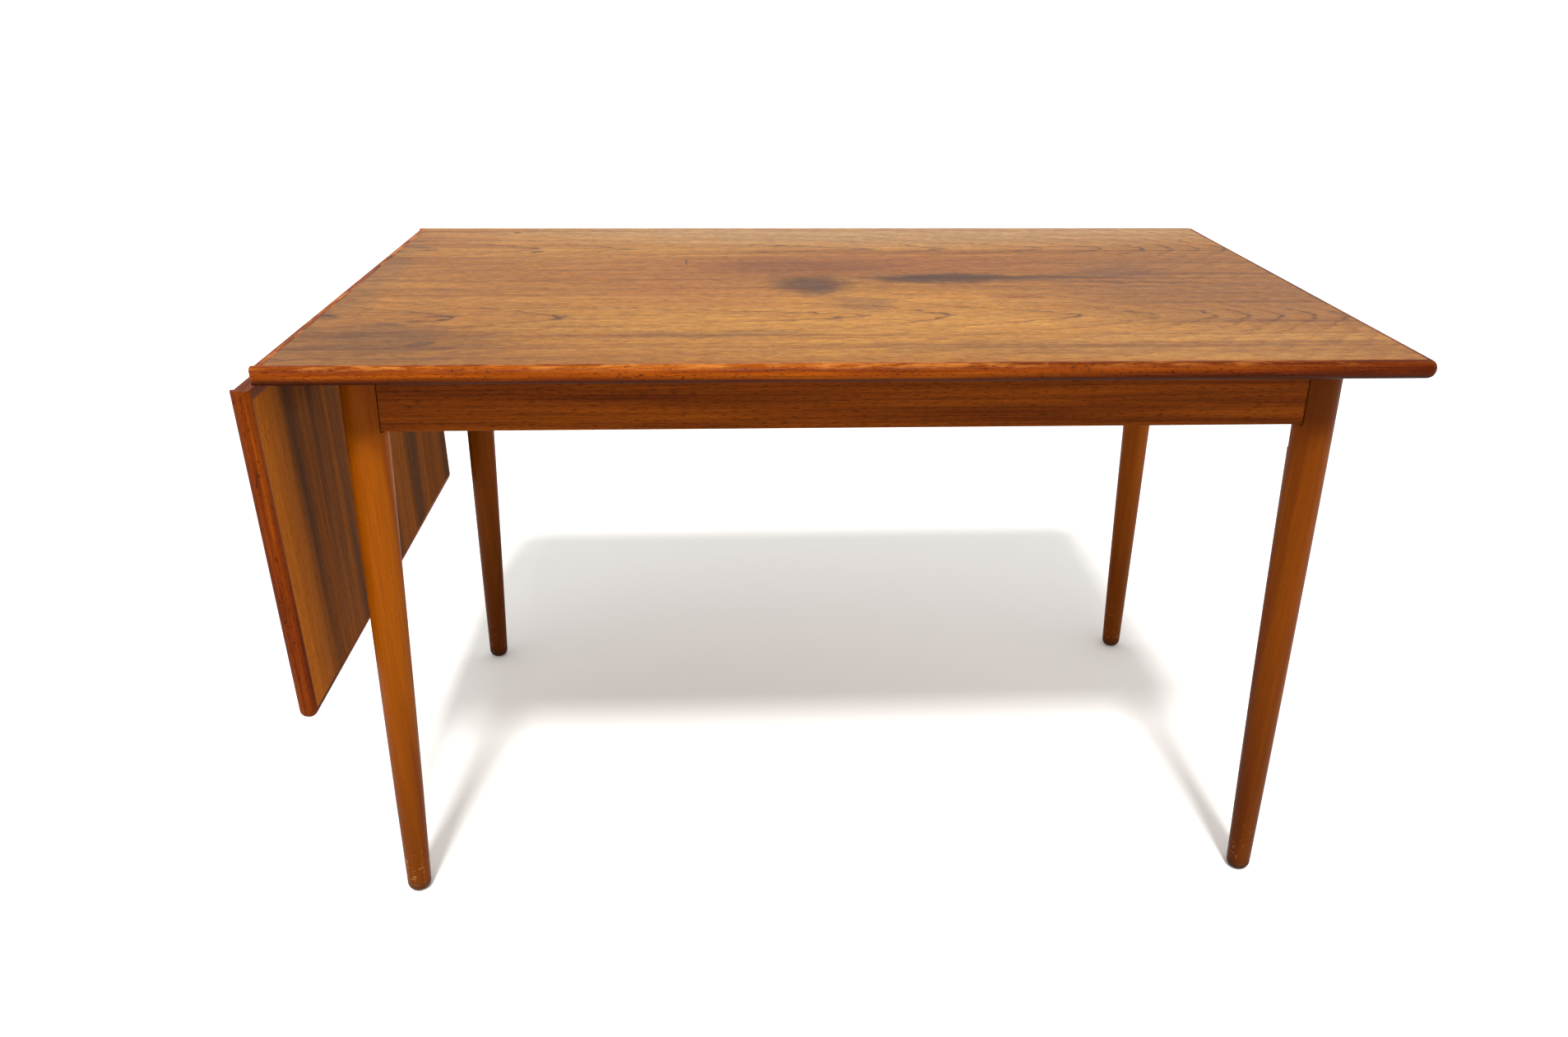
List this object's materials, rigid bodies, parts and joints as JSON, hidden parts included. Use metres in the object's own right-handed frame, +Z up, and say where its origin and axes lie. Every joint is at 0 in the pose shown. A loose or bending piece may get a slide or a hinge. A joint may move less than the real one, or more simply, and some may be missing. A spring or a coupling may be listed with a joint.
{
  "type": "drop leaf table",
  "caption": "Dining table with a veneered top, splayed turned legs and a hinged end leaf that hangs down or is raised level with the top.",
  "frame": {"origin": "on the floor, under the middle of the table's outline with the leaf hanging", "axes": "+X along the top, away from the leaf's end; +Y from the front to the rear; +Z up"},
  "size_m": [1.2446, 0.74, 0.73],
  "materials": {
    "teak_veneer": "oiled teak veneer, satin",
    "solid_teak": "oiled solid teak, satin",
    "apron_teak": "oiled dark teak, satin",
    "stained_beech": "stained and lacquered turned beech, satin",
    "plain_beech": "bare planed beech, matte",
    "board_core": "pressed board core, matte",
    "hinge_brass": "plain brass, satin",
    "zinc_steel": "zinc-plated steel, satin"
  },
  "bodies": {
    "table": {"top_veneer": "teak_veneer", "top_backing_veneer": "teak_veneer", "top_front_lipping": "solid_teak", "top_rear_lipping": "solid_teak", "top_end_lipping": "solid_teak", "top_joint_lipping": "solid_teak", "front_apron": "apron_teak", "rear_apron": "apron_teak", "left_apron": "apron_teak", "right_apron": "apron_teak", "front_left_leg": "stained_beech", "front_right_leg": "stained_beech", "rear_left_leg": "stained_beech", "rear_right_leg": "stained_beech", "front_left_corner_block": "plain_beech", "front_right_corner_block": "plain_beech", "rear_left_corner_block": "plain_beech", "rear_right_corner_block": "plain_beech", "cross_rail": "plain_beech", "cross_rail_dowels": "plain_beech", "top_buttons": "plain_beech", "top_core": "board_core", "top_hinge_plate_front": "hinge_brass", "top_hinge_plate_centre": "hinge_brass", "top_hinge_plate_rear": "hinge_brass", "hinge_pins": "hinge_brass", "top_hinge_screws": "hinge_brass", "corner_block_screws": "zinc_steel", "hanger_bolts": "zinc_steel", "washers": "zinc_steel", "wing_nuts": "zinc_steel", "top_button_screws": "zinc_steel"},
    "leaf": {"leaf_veneer": "teak_veneer", "leaf_backing_veneer": "teak_veneer", "leaf_front_lipping": "solid_teak", "leaf_rear_lipping": "solid_teak", "leaf_end_lipping": "solid_teak", "leaf_joint_lipping": "solid_teak", "leaf_core": "board_core", "leaf_hinge_plate_front": "hinge_brass", "leaf_hinge_plate_centre": "hinge_brass", "leaf_hinge_plate_rear": "hinge_brass", "leaf_hinge_screws": "hinge_brass"},
    "front_leaf_slide": {"front_slide": "plain_beech", "front_slide_pegs": "plain_beech"},
    "rear_leaf_slide": {"rear_slide": "plain_beech", "rear_slide_pegs": "plain_beech"}
  },
  "joints": [
    {"name": "leaf_fold", "type": "hinge", "parent": "table", "child": "leaf", "pos_m": [-0.5982, 0, 0.7059], "axis": [0, 1, 0], "range_deg": [0, 90]},
    {"name": "front_slide_draw", "type": "slide", "parent": "table", "child": "front_leaf_slide", "axis": [-1, 0, 0], "range_m": [0, 0.05]},
    {"name": "rear_slide_draw", "type": "slide", "parent": "table", "child": "rear_leaf_slide", "axis": [-1, 0, 0], "range_m": [0, 0.05]}
  ]
}
